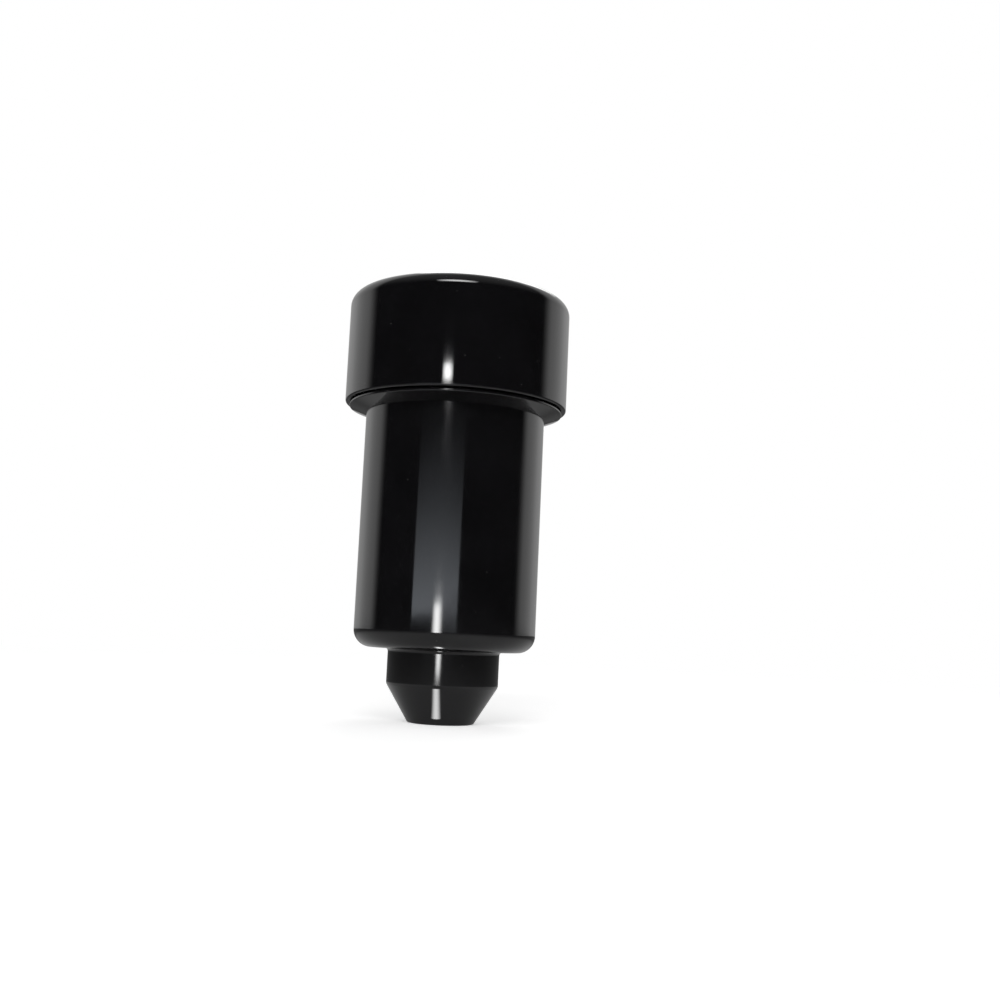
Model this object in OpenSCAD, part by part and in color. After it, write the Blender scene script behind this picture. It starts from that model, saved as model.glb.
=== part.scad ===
// Key hider in the shape of a pop-up lawn sprinkler.
// A closed tube stands in the soil with its cap at ground level. The cap pushes on over the tube's neck
// and lifts off with a split ring of keys, which hangs from an eye under the cap.
// Millimetres, +Z up, origin at the centre of the flat foot under the nose.

/* [Nose] */
// Diameter of the flat foot at the end of the nose
nose_foot_d = 15; // [11:0.5:19]
// Diameter of the straight stretch of the nose
nose_d = 25.5; // [22:0.5:32]
// Height of the tapered end of the nose
nose_taper_h = 8.5; // [6:0.5:14]
// Height of the straight stretch of the nose
nose_straight_h = 8; // [5:0.1:20]
// Radius of the rounded edge between the nose's taper and its straight stretch
nose_edge_r = 1.5; // [0.5:0.25:2]
// Radius of the edge round the foot
nose_foot_r = 0.6; // [0.3:0.1:1]
// Radius of the hollow corner between the nose and the underside of the tube
nose_root_r = 0.8; // [0.3:0.1:1]

/* [Tube] */
// Outside diameter of the tube that stands in the soil
tube_d = 41.5; // [39:0.5:43]
// Length of the tube from its underside to its shoulder
tube_h = 53.7; // [45:0.1:90]
// Wall thickness of the tube and the nose
tube_wall = 2; // [1.6:0.1:2.6]
// Radius of the rounded edge at the foot of the tube
tube_foot_r = 4; // [2.5:0.1:4.6]
// Radius of the rounded corner inside the foot of the tube
tube_floor_r = 2; // [0.5:0.1:2.4]

/* [Neck] */
// Height of the slope that leads from the tube out to the collar
shoulder_h = 1.5; // [1:0.1:6]
// How far the collar's edge lies inside the side of the cap
collar_inset = 1; // [0.5:0.1:1.5]
// Height of the collar's upright edge
collar_h = 0.6; // [0.5:0.1:3]
// Radius of the collar's edges
collar_edge_r = 0.2; // [0.1:0.05:0.25]
// Height of the neck above the collar
neck_h = 18; // [14:0.5:19]
// Wall thickness of the neck
neck_wall = 2.4; // [1.8:0.1:3]
// Radius of the rounded edges of the mouth
mouth_r = 0.8; // [0.4:0.1:0.85]

/* [Cap] */
// Outside diameter of the cap
cap_d = 51.5; // [51.5:0.5:56]
// Height of the cap from its foot to its deck
cap_h = 25.6; // [24:0.1:32]
// Wall thickness of the cap's skirt
cap_wall = 2.8; // [2.6:0.1:3.2]
// Thickness of the cap's deck
deck_t = 2.4; // [2:0.1:3]
// Radius of the rounded edge round the deck
cap_edge_r = 3; // [1:0.1:3.4]
// Radius of the rounded corner between skirt and deck inside the cap
cap_inner_r = 1.2; // [0.5:0.1:2]
// Radius of the edge round the foot of the skirt
cap_foot_r = 0.5; // [0.3:0.1:0.8]
// Radius of the lead-in at the inner edge of the skirt's foot
cap_lead_r = 0.6; // [0.3:0.1:0.8]
// Diameter of the fine ring groove in the deck, at its middle
deck_ring_d = 42; // [34:0.5:43]
// Width of the ring groove in the deck
deck_ring_w = 1; // [0.6:0.1:2]
// Depth of the ring groove in the deck
deck_ring_depth = 0.4; // [0.3:0.1:0.8]
// Radius of the edges of the fine grooves in the deck and the nozzle
groove_edge_r = 0.15; // [0.1:0.05:0.2]
// Clearance between the neck and the cap, all round
cap_gap = 0.3; // [0.2:0.05:0.4]
// Clearance between the collar and the foot of the closed cap
cap_rest_gap = 0.2; // [0.1:0.05:0.4]

/* [Seal] */
// Cord diameter of the rubber ring in the cap's groove
seal_cord_d = 1.5; // [1.2:0.1:1.7]
// Height of the rubber ring above the foot of the cap
seal_rise = 5; // [3:0.5:9]
// Clearance of the rubber ring on the neck and on the floor of its groove
seal_fit = 0.1; // [0.05:0.05:0.15]
// Clearance of the rubber ring between the groove's sides
seal_side_gap = 0.15; // [0.1:0.05:0.3]

/* [Nozzle] */
// Diameter of the imitation nozzle in the deck
nozzle_d = 19; // [17:0.5:24]
// Height of the nozzle above the deck
nozzle_h = 2.8; // [2.6:0.1:5]
// Depth of the seat that takes the nozzle's foot
nozzle_seat_h = 0.6; // [0.4:0.1:1]
// Radius of the nozzle's rounded top edge
nozzle_edge_r = 0.8; // [0.3:0.1:0.9]
// Diameter of the ring groove in the nozzle's top, at its middle
nozzle_ring_d = 12.5; // [11:0.5:13]
// Width of the ring groove in the nozzle's top
nozzle_ring_w = 1.2; // [0.6:0.1:1.6]
// Depth of the ring groove in the nozzle's top
nozzle_ring_depth = 0.5; // [0.3:0.1:0.8]
// Height of the spray slot in the nozzle's side
spray_slot_h = 0.9; // [0.6:0.1:1]
// Depth of the spray slot in the nozzle's side
spray_slot_depth = 1.6; // [1:0.1:2]
// Angle of the lawn that the spray slot faces
spray_arc = 90; // [60:5:120]
// Width of the two arc marks on the nozzle's top
arc_mark_w = 0.9; // [0.6:0.1:1.2]
// Diameter of the spigot that centres the nozzle in the deck
nozzle_spigot_d = 9; // [8:0.5:10]
// Clearance of the nozzle in its seat and its hole
nozzle_fit = 0.15; // [0.1:0.05:0.2]

/* [Nozzle screw] */
// Diameter of the screw's shank
screw_d = 4; // [3:0.5:4]
// Diameter of the screw's head
screw_head_d = 6.8; // [6.2:0.1:7.2]
// Height of the screw's head
screw_head_h = 2; // [1.6:0.1:2.2]
// Depth of the head's top below the top of the nozzle
screw_sink = 0.3; // [0.2:0.1:0.6]
// Width of the driver slot
driver_slot_w = 1.1; // [0.8:0.1:1.4]
// Depth of the driver slot
driver_slot_depth = 0.9; // [0.6:0.1:1]
// Length of shank that the hanger takes up
screw_grip = 7; // [5:0.5:7.5]
// Clearance of the shank in the hanger
screw_fit = 0.05; // [0.02:0.01:0.1]
// Clearance round the screw in the nozzle
screw_room = 0.2; // [0.1:0.05:0.3]

/* [Key hanger] */
// Width across the flats of the hanger's six-sided head
hanger_flats = 11; // [10.5:0.1:13]
// Height of the hanger's six-sided head
hanger_head_h = 2.5; // [2:0.1:3]
// Thickness of the stem's floor under the end of the screw
hanger_floor = 1; // [0.8:0.1:1.2]
// Diameter of the hanger's stem
hanger_stem_d = 9; // [8:0.5:10]
// Thickness of the lug that holds the eye
lug_t = 3; // [2.4:0.1:4]
// Diameter of the eye that the key ring hangs in
eye_d = 6.4; // [6:0.1:8]
// Width of the lug's rim round the eye
eye_rim = 2.3; // [2:0.1:3]
// Depth of the eye's centre below the deck
eye_drop = 13.1; // [13:0.1:18]
// Wall of the socket under the deck that keeps the hanger from turning
socket_wall = 1.6; // [1.2:0.1:2]
// Height of the socket under the deck
socket_h = 2; // [1.4:0.1:2]
// Clearance of the hanger's head in the socket
socket_fit = 0.1; // [0.05:0.05:0.2]

/* [Key ring] */
// Outside diameter of the split ring
ring_d = 24; // [20:0.5:25]
// Thickness of the ring's wire, measured outwards from the ring's centre
ring_wire_w = 1.8; // [1.4:0.1:2]
// Thickness of the ring's wire, measured along the ring's axis
ring_wire_t = 1.3; // [1:0.1:1.4]
// Gap between the ring's two turns
ring_turn_gap = 0.45; // [0.42:0.01:0.6]
// Clearance between the hanging ring and the rim of the eye
ring_rest_gap = 0.3; // [0.2:0.05:0.4]
// Half of the angle in which the wire steps from one turn to the other
ring_step_half = 18; // [14:1:24]
// Angle between each free end of the wire and the step
ring_end_gap = 8; // [6:1:12]

/* [Hidden] */
$fn = 96;
// Overlap that keeps cuts clear of the faces they open
lap = 1;
// Directions in an outline, whose first axis is the radius and whose second is the height
inwards = [-1, 0];
outwards = [1, 0];
upwards = [0, 1];
downwards = [0, -1];

// Levels from the foot upwards
tube_foot_z = nose_taper_h + nose_straight_h;
shoulder_z = tube_foot_z + tube_h;
collar_z = shoulder_z + shoulder_h;
collar_top_z = collar_z + collar_h;
mouth_z = collar_top_z + neck_h;
cap_foot_z = collar_top_z + cap_rest_gap;
deck_z = cap_foot_z + cap_h;
deck_under_z = deck_z - deck_t;
nozzle_top_z = deck_z + nozzle_h;
seal_z = cap_foot_z + seal_rise;
eye_z = deck_under_z - eye_drop;

// Radii that fit one piece to another
tube_bore_r = tube_d / 2 - tube_wall;
nose_bore_r = nose_d / 2 - tube_wall;
taper_angle = atan((nose_d - nose_foot_d) / 2 / nose_taper_h);
foot_bore_r = nose_foot_d / 2 + tube_wall * (tan(taper_angle) - 1 / cos(taper_angle));
taper_bore_z = nose_taper_h + tube_wall * tan(taper_angle / 2);
cap_bore_r = cap_d / 2 - cap_wall;
collar_r = cap_d / 2 - collar_inset;
neck_r = cap_bore_r - cap_gap;
neck_bore_r = neck_r - neck_wall;
seal_r = neck_r + seal_fit + seal_cord_d / 2;
groove_floor_r = neck_r + 2 * seal_fit + seal_cord_d;
groove_w = seal_cord_d + 2 * seal_side_gap;

// Heights and places of the stack that the nozzle screw clamps
screw_head_z = nozzle_top_z - screw_sink - screw_head_h;
screw_end_z = deck_under_z - screw_grip;
counterbore_r = screw_head_d / 2 + screw_room;
nozzle_foot_z = deck_z - nozzle_seat_h;
spray_slot_z = deck_z + (nozzle_h - nozzle_edge_r - spray_slot_h) / 2;
lug_r = eye_d / 2 + eye_rim;
stem_end_z = screw_end_z - hanger_floor;

// The ring hangs with the inside of its wire just above the lower rim of the eye
ring_pitch = ring_wire_t + ring_turn_gap;
ring_half_t = (ring_pitch + ring_wire_t) / 2;
ring_seat = sqrt(pow(eye_d / 2, 2) - pow(ring_half_t, 2)) - ring_rest_gap;
ring_mean_r = (ring_d - ring_wire_w) / 2;
ring_z = eye_z - ring_seat + ring_wire_w / 2 - ring_mean_r;
ring_steps_a_turn = 36;
ring_sides = 8;
// The wire's free end starts past the step, runs one turn, steps over and runs a second turn
ring_start = ring_step_half + ring_end_gap;
ring_sweep = 720 - 2 * ring_start;
ring_steps = ceil(ring_steps_a_turn * ring_sweep / 360);

// Piece that rounds a corner of an outline to radius r when it is cut away.
// along_a and along_b are unit vectors from the corner along its two edges.
module corner_cut(corner, along_a, along_b, r) {
    half_angle = acos(along_a * along_b) / 2;
    inwards = (along_a + along_b) / norm(along_a + along_b);
    centre = corner + inwards * r / sin(half_angle);
    touch_a = corner + along_a * r / tan(half_angle);
    touch_b = corner + along_b * r / tan(half_angle);
    out_a = (touch_a - centre) / r;
    out_b = (touch_b - centre) / r;
    difference() {
        polygon([centre, touch_a + lap * out_a, corner - 2 * lap * inwards, touch_b + lap * out_b]);
        translate(centre)
            circle(r);
    }
}

// Groove of a width and a depth in a flat top at height z, with rounded edges, for cutting away
module top_groove(middle_r, width, depth, z) {
    band(middle_r - width / 2, middle_r + width / 2, z - depth, z + lap);
    corner_cut([middle_r - width / 2, z], inwards, downwards, groove_edge_r);
    corner_cut([middle_r + width / 2, z], outwards, downwards, groove_edge_r);
}

// Upright band of an outline between two radii and two heights
module band(r_in, r_out, z_low, z_high) {
    translate([r_in, z_low])
        square([r_out - r_in, z_high - z_low]);
}

// Outside of the nose: a straight stretch over a taper that ends in a flat foot
module nose_outline() {
    foot_edge = [nose_foot_d / 2, 0];
    taper_edge = [nose_d / 2, nose_taper_h];
    up_taper = (taper_edge - foot_edge) / norm(taper_edge - foot_edge);
    difference() {
        polygon([
            [0, 0],
            foot_edge,
            taper_edge,
            [nose_d / 2, tube_foot_z + lap],
            [0, tube_foot_z + lap],
        ]);
        corner_cut(foot_edge, inwards, up_taper, nose_foot_r);
        corner_cut(taper_edge, -up_taper, upwards, nose_edge_r);
    }
    corner_cut([nose_d / 2, tube_foot_z], outwards, downwards, nose_root_r);
}

// Outside of the tube, with its rounded foot, its shoulder and its collar
module tube_outline() {
    shoulder_root = [tube_d / 2, shoulder_z];
    collar_edge = [collar_r, collar_z];
    up_slope = (collar_edge - shoulder_root) / norm(collar_edge - shoulder_root);
    difference() {
        band(0, tube_d / 2, tube_foot_z, shoulder_z);
        corner_cut([tube_d / 2, tube_foot_z], inwards, upwards, tube_foot_r);
    }
    difference() {
        polygon([
            [0, shoulder_z],
            shoulder_root,
            collar_edge,
            [collar_r, collar_top_z],
            [0, collar_top_z],
        ]);
        corner_cut(collar_edge, -up_slope, upwards, collar_edge_r);
        corner_cut([collar_r, collar_top_z], inwards, downwards, collar_edge_r);
    }
    difference() {
        band(0, neck_r, collar_top_z, mouth_z);
        corner_cut([neck_r, mouth_z], inwards, downwards, mouth_r);
    }
}

// Inside of the tube: it follows the outside with an even wall
module tube_hollow() {
    floor_corner = [tube_bore_r, tube_foot_z + tube_wall];
    difference() {
        polygon([
            [0, tube_wall],
            [foot_bore_r, tube_wall],
            [nose_bore_r, taper_bore_z],
            [nose_bore_r, tube_foot_z + tube_wall],
            floor_corner,
            [tube_bore_r, shoulder_z],
            [neck_bore_r, collar_z],
            [neck_bore_r, mouth_z + lap],
            [0, mouth_z + lap],
        ]);
        corner_cut(floor_corner, inwards, upwards, tube_floor_r);
    }
}

// Tube that stands in the soil, with its closed nose and the neck that takes the cap
module ground_tube() {
    color([0.05, 0.05, 0.06])
        rotate_extrude()
            difference() {
                union() {
                    nose_outline();
                    tube_outline();
                }
                tube_hollow();
                corner_cut([neck_bore_r, mouth_z], outwards, downwards, mouth_r);
            }
}

// Rubber ring in the cap's groove, which grips the neck
module cap_seal() {
    color([0.12, 0.12, 0.12])
        rotate_extrude()
            translate([seal_r, seal_z])
                circle(seal_cord_d / 2);
}

// Outline of the cap: skirt, deck, rounded edge and the groove for the rubber ring
module cap_outline() {
    difference() {
        band(0, cap_d / 2, cap_foot_z, deck_z);
        corner_cut([cap_d / 2, deck_z], inwards, downwards, cap_edge_r);
        corner_cut([cap_d / 2, cap_foot_z], inwards, upwards, cap_foot_r);
        corner_cut([cap_bore_r, cap_foot_z], outwards, upwards, cap_lead_r);
        difference() {
            band(0, cap_bore_r, cap_foot_z - lap, deck_under_z);
            corner_cut([cap_bore_r, deck_under_z], inwards, downwards, cap_inner_r);
        }
        band(cap_bore_r - lap, groove_floor_r, seal_z - groove_w / 2, seal_z + groove_w / 2);
        top_groove(deck_ring_d / 2, deck_ring_w, deck_ring_depth, deck_z);
        band(0, nozzle_d / 2 + nozzle_fit, nozzle_foot_z, deck_z + lap);
        band(0, nozzle_spigot_d / 2 + nozzle_fit, deck_under_z - lap, deck_z);
    }
}

// Six-sided prism, measured across its flats
module hexagon(flats, h) {
    cylinder(d = flats / cos(30), h = h, $fn = 6);
}

// Cap with its skirt, deck and the six-sided socket under the deck
module cap_shell() {
    color([0.04, 0.04, 0.05]) {
        rotate_extrude()
            cap_outline();
        translate([0, 0, deck_under_z - socket_h])
            difference() {
                cylinder(r = hanger_flats / 2 / cos(30) + socket_fit + socket_wall, h = socket_h);
                translate([0, 0, -lap])
                    hexagon(hanger_flats + 2 * socket_fit, socket_h + 2 * lap);
            }
    }
}

// Outline of the nozzle: head, spigot, ring groove and the counterbore for the screw
module nozzle_outline() {
    difference() {
        union() {
            band(0, nozzle_d / 2, nozzle_foot_z, nozzle_top_z);
            band(0, nozzle_spigot_d / 2, deck_under_z, nozzle_foot_z + lap / 2);
        }
        corner_cut([nozzle_d / 2, nozzle_top_z], inwards, downwards, nozzle_edge_r);
        top_groove(nozzle_ring_d / 2, nozzle_ring_w, nozzle_ring_depth, nozzle_top_z);
        band(0, counterbore_r, screw_head_z, nozzle_top_z + lap);
        corner_cut([counterbore_r, nozzle_top_z], outwards, downwards, groove_edge_r);
        band(0, screw_d / 2 + screw_room, deck_under_z - lap, nozzle_top_z);
    }
}

// Imitation spray nozzle that sits in the deck and faces the front
module nozzle_head() {
    color([0.03, 0.03, 0.03])
        difference() {
            rotate_extrude()
                nozzle_outline();
            translate([0, 0, spray_slot_z])
                rotate(-90 - spray_arc / 2)
                    rotate_extrude(angle = spray_arc)
                        translate([nozzle_d / 2 - spray_slot_depth, 0])
                            square([spray_slot_depth + lap, spray_slot_h]);
            for (turn = [-spray_arc / 2, spray_arc / 2])
                rotate(turn - 90)
                    translate([(nozzle_ring_d + nozzle_ring_w) / 2 - lap, -arc_mark_w / 2,
                        nozzle_top_z - nozzle_ring_depth])
                        cube([nozzle_d, arc_mark_w, nozzle_ring_depth + lap]);
        }
}

// Slotted screw that clamps the nozzle and the hanger to the deck
module nozzle_screw() {
    color("silver")
        difference() {
            union() {
                translate([0, 0, screw_head_z])
                    cylinder(d = screw_head_d, h = screw_head_h);
                translate([0, 0, screw_end_z])
                    cylinder(d = screw_d, h = screw_head_z - screw_end_z + lap / 2);
            }
            translate([-screw_head_d, -driver_slot_w / 2, screw_head_z + screw_head_h - driver_slot_depth])
                cube([2 * screw_head_d, driver_slot_w, driver_slot_depth + lap]);
        }
}

// Hanger under the deck: a six-sided head, a stem that takes the screw and a lug with the eye
module key_hanger() {
    color([0.08, 0.08, 0.08])
        difference() {
            union() {
                translate([0, 0, deck_under_z - hanger_head_h])
                    hexagon(hanger_flats, hanger_head_h);
                translate([0, 0, stem_end_z])
                    cylinder(d = hanger_stem_d, h = deck_under_z - hanger_head_h - stem_end_z + lap / 2);
                translate([-lug_t / 2, 0, eye_z])
                    rotate([0, 90, 0])
                        cylinder(r = lug_r, h = lug_t);
                translate([-lug_t / 2, -hanger_stem_d / 2, eye_z])
                    cube([lug_t, hanger_stem_d, stem_end_z - eye_z + lap / 2]);
            }
            translate([0, 0, screw_end_z])
                cylinder(r = screw_d / 2 + screw_fit, h = screw_grip + lap);
            translate([-lug_t, 0, eye_z])
                rotate([0, 90, 0])
                    cylinder(d = eye_d, h = 2 * lug_t);
        }
}

// Angle round the ring of a step along its wire, counted from the middle of the step between the turns
function wire_angle(i) = ring_start + ring_sweep * i / ring_steps;

// Place of the wire's centre along the ring's axis: one turn, a smooth step over, then the other turn
function wire_side(angle) =
    let (t = min(1, max(0, (angle - 360 + ring_step_half) / (2 * ring_step_half))))
    ring_pitch * (t * t * (3 - 2 * t) - 0.5);

// Corner k of the wire's rounded section, [outwards, along the ring's axis]
function wire_corner(k) =
    let (a = 360 * (k + 0.5) / ring_sides)
    [ring_wire_w / 2 * cos(a) / cos(180 / ring_sides), ring_wire_t / 2 * sin(a) / cos(180 / ring_sides)];

// Point of the wire's skin. The ring lies in the XZ plane, with its step at the lowest point.
function wire_point(angle, corner) =
    let (r = ring_mean_r + corner[0])
    [r * sin(angle), wire_side(angle) + corner[1], ring_z - r * cos(angle)];

// Skin of the wire as [angle, point], and the least gap between its two turns measured on those points
wire_skin = [
    for (i = [0 : ring_steps], k = [0 : ring_sides - 1])
        [wire_angle(i), wire_point(wire_angle(i), wire_corner(k))]
];
function turn_apart(a, b) = b[0] - a[0] > 180 && abs(b[0] - a[0] - 360) < 2 * ring_step_half;
ring_least_gap = min([
    for (a = wire_skin, b = wire_skin)
        if (turn_apart(a, b)) norm(a[1] - b[1])
]);
echo(ring_least_gap = ring_least_gap);

// Split ring of two turns of wire, one unbroken tube
module key_ring() {
    sides = [
        for (i = [0 : ring_steps - 1], k = [0 : ring_sides - 1])
            let (a = i * ring_sides + k, b = i * ring_sides + (k + 1) % ring_sides)
            each [[a, b, b + ring_sides], [a, b + ring_sides, a + ring_sides]]
    ];
    last = ring_steps * ring_sides;
    ends = [for (k = [1 : ring_sides - 2]) each [[0, k + 1, k], [last, last + k, last + k + 1]]];
    color("silver")
        polyhedron(points = [for (skin = wire_skin) skin[1]], faces = concat(sides, ends));
}

ground_tube();
cap_seal();
cap_shell();
nozzle_head();
nozzle_screw();
key_hanger();
key_ring();
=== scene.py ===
"""Dresses the key hider that passes for a pop-up lawn sprinkler, and sets it in a plain studio.

Metres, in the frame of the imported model: +Z up the axis of the tube, -Y the front, the foot on the
floor at z = 0.
"""

import logging
import math
from collections.abc import Callable, Iterator, Sequence
from contextlib import contextmanager
from dataclasses import dataclass
from enum import Enum
from functools import cache
from typing import Self

import bmesh
import bpy
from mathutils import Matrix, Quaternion, Vector


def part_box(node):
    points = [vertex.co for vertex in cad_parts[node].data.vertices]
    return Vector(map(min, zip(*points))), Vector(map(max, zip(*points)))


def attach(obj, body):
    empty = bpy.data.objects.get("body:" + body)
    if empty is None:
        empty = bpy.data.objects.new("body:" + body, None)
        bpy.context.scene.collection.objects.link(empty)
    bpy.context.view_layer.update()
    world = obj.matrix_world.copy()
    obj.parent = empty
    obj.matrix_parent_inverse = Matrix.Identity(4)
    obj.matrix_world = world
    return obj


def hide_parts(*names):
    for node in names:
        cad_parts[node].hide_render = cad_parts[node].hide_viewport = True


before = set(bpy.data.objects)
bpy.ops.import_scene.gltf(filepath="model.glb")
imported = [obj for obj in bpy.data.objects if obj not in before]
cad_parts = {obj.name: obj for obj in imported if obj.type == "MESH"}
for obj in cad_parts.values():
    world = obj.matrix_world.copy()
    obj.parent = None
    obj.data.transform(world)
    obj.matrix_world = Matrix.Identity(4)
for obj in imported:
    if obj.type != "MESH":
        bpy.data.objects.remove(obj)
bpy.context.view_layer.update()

MM = 0.001
# Edges that turn by more stay sharp.
SMOOTH_ANGLE = math.radians(32)
# Points that are closer are one.
SAME_PLACE = 2e-6
# The modifier's neutral weight.
NORMAL_WEIGHT = 50
# Steps in the turn and in the rounded corners of a glossy piece.
FINE_TURN = 240
FINE_ROUND = 10
# Watts that give a lamp of one square metre a brightness of 1.
LAMP_POWER = 4.0

Triple = tuple[float, float, float]
Span = tuple[float, float]
Socket = bpy.types.NodeSocket
Outputs = bpy.types.NodeOutputs
Number = Socket | float
Test = Callable[[object], bool]

log = logging.getLogger("key_hider")


class Slot(Enum):
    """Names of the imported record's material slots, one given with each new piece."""

    TUBE = "tube_plastic"
    CAP = "cap_plastic"
    HANGER = "hanger_plastic"
    SEAL = "seal_rubber"
    SCREW = "screw_steel"
    RING = "ring_steel"


class Body(Enum):
    """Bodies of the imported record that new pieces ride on."""

    TUBE = "ground_tube"
    SEAL = "seal"
    CAP = "cap"
    RING = "key_ring"


class Joining(Enum):
    """Ways in which one solid changes another."""

    ADD = "UNION"
    CUT = "DIFFERENCE"


class Pick(Enum):
    """Kinds of parts of a mesh that are selected."""

    VERT = "verts"
    EDGE = "edges"
    FACE = "faces"


class Graph:
    """A node tree with short ways to add nodes and to join them."""

    def __init__(self, tree: bpy.types.NodeTree) -> None:
        """Keeps the tree and empties it."""
        self.tree = tree
        self.tree.nodes.clear()

    def add(self, kind: str, **settings: object) -> bpy.types.Node:
        """Adds a node.

        Args:
            kind: Name of the node's type.
            settings: Properties to set on the node.

        Returns:
            The new node.
        """
        node = self.tree.nodes.new(kind)
        for key, value in settings.items():
            setattr(node, key, value)
        return node

    def feed(self, target: Socket, source: Number | Sequence[float]) -> None:
        """Joins a socket to another one, or sets it to a value.

        Args:
            target: Input socket.
            source: Output socket, or the value that the input keeps.
        """
        if isinstance(source, Socket):
            self.tree.links.new(source, target)
        else:
            target.default_value = source

    def fill(self, node: bpy.types.Node, **inputs: Number | Sequence[float]) -> Outputs:
        """Feeds a node's inputs by name.

        Args:
            node: The node.
            inputs: What each input gets, with _ for a space in its name.

        Returns:
            The node's outputs.
        """
        for name, source in inputs.items():
            self.feed(node.inputs[name.replace("_", " ")], source)
        return node.outputs

    def feed_from(self, node: bpy.types.Node, first: int, *values: Number | Sequence[float]) -> Outputs:
        """Feeds a node's inputs by their order.

        Args:
            node: The node.
            first: Place of the first input that is fed.
            values: What that input and the next ones get.

        Returns:
            The node's outputs.
        """
        for place, value in enumerate(values, first):
            self.feed(node.inputs[place], value)
        return node.outputs

    def group(self, tree: bpy.types.NodeTree, **inputs: Number) -> Outputs:
        """Places a node group and feeds its inputs by name."""
        return self.fill(self.add("ShaderNodeGroup", node_tree=tree), **inputs)

    def math(self, operation: str, *values: Number) -> Socket:
        """Gives the result of a Math node from its inputs in order."""
        return self.feed_from(self.add("ShaderNodeMath", operation=operation), 0, *values)[0]

    def hypot(self, first: Socket, second: Socket) -> Socket:
        """Gives the length of a line whose two parts stand square to each other."""
        squares = [self.math("MULTIPLY", part, part) for part in (first, second)]
        return self.math("SQRT", self.math("ADD", *squares))

    def axes(self, vector: Socket) -> Outputs:
        """Splits a vector into its X, Y and Z."""
        return self.fill(self.add("ShaderNodeSeparateXYZ"), Vector=vector)

    def rise(self, value: Socket, low: Number, high: Number, to_low: float = 0.0,
             to_high: float = 1.0) -> Socket:
        """Maps a value smoothly from the range low to high onto the range to_low to to_high."""
        node = self.add("ShaderNodeMapRange", interpolation_type="SMOOTHSTEP")
        return self.fill(node, Value=value, From_Min=low, From_Max=high, To_Min=to_low,
                         To_Max=to_high)["Result"]

    def noise(self, vector: Socket, scale: Number, detail: float = 2.0, rough: float = 0.5) -> Socket:
        """Gives a Noise texture of about 0 to 1, with its scale in waves per metre."""
        node = self.add("ShaderNodeTexNoise")
        return self.fill(node, Vector=vector, Scale=scale, Detail=detail, Roughness=rough)["Fac"]

    def place(self, vector: Socket, location: Triple = (0, 0, 0), turn: Triple = (0, 0, 0),
              scale: Triple = (1, 1, 1)) -> Socket:
        """Shifts coordinates, turns them by degrees about each axis and scales them."""
        radians = [math.radians(a) for a in turn]
        return self.fill(self.add("ShaderNodeMapping"), Vector=vector, Location=location, Rotation=radians,
                         Scale=scale)["Vector"]

    def blend(self, share: Socket, first: Socket | Triple, second: Socket | Triple) -> Socket:
        """Mixes two colours.

        Args:
            share: Share of the second colour.
            first: First colour, as a socket or as three numbers.
            second: Second colour, as a socket or as three numbers.

        Returns:
            The mixed colour's socket.
        """
        node = self.add("ShaderNodeMix", data_type="RGBA")
        self.feed(node.inputs["Factor"], share)
        colours = (c if isinstance(c, Socket) else (*c, 1.0) for c in (first, second))
        return self.feed_from(node, 6, *colours)[2]

    def between(self, share: Socket, first: Number, second: Number) -> Socket:
        """Mixes two numbers by the share of the second."""
        return self.fill(self.add("ShaderNodeMix"), Factor=share, A=first, B=second)[0]

    def mix(self, share: Socket, first: Socket, second: Socket) -> Socket:
        """Mixes two shaders by the share of the second."""
        return self.feed_from(self.add("ShaderNodeMixShader"), 0, share, first, second)[0]


def start_group(name: str, outputs: Sequence[str], **inputs: float) -> tuple[Graph, dict, dict]:
    """Makes an empty node group with its sockets. Its first input is the vector of the coordinates.

    Args:
        name: The group's name.
        outputs: Name of each output, all of them numbers.
        inputs: First value of each further input, with _ for a space in its name.

    Returns:
        The group's graph, its inputs by name and its outputs by name.
    """
    tree = bpy.data.node_groups.new(name, "ShaderNodeTree")
    tree.interface.new_socket(name="Vector", in_out="INPUT", socket_type="NodeSocketVector")
    for label, value in inputs.items():
        label = label.replace("_", " ")
        socket = tree.interface.new_socket(name=label, in_out="INPUT", socket_type="NodeSocketFloat")
        socket.default_value = value
    for label in outputs:
        tree.interface.new_socket(name=label, in_out="OUTPUT", socket_type="NodeSocketFloat")
    graph = Graph(tree)
    entry = graph.add("NodeGroupInput")
    leave = graph.add("NodeGroupOutput")
    return graph, {s.name: s for s in entry.outputs}, {s.name: s for s in leave.inputs}


@cache
def moulded_skin() -> bpy.types.NodeTree:
    """Builds the skin of a moulding: long ripples, fine grain and an uneven gloss, with depths in mm.

    Returns:
        The node group.
    """
    graph, entry, leave = start_group("moulded_skin", ("Height", "Mottle"), Ripple_Scale=260.0,
                                      Ripple_Depth=0.003, Grain_Scale=4200.0, Grain_Depth=0.0006)
    place = entry["Vector"]
    ripple = graph.noise(place, entry["Ripple Scale"], detail=1.5)
    grain = graph.noise(place, entry["Grain Scale"], detail=3.0, rough=0.6)
    fine = graph.math("MULTIPLY", grain, entry["Grain Depth"])
    graph.feed(leave["Height"], graph.math("MULTIPLY_ADD", ripple, entry["Ripple Depth"], fine))
    cloud = graph.noise(place, scale=55.0, detail=5.0, rough=0.62)
    graph.feed(leave["Mottle"], graph.rise(cloud, low=0.32, high=0.7))
    return graph.tree


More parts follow.
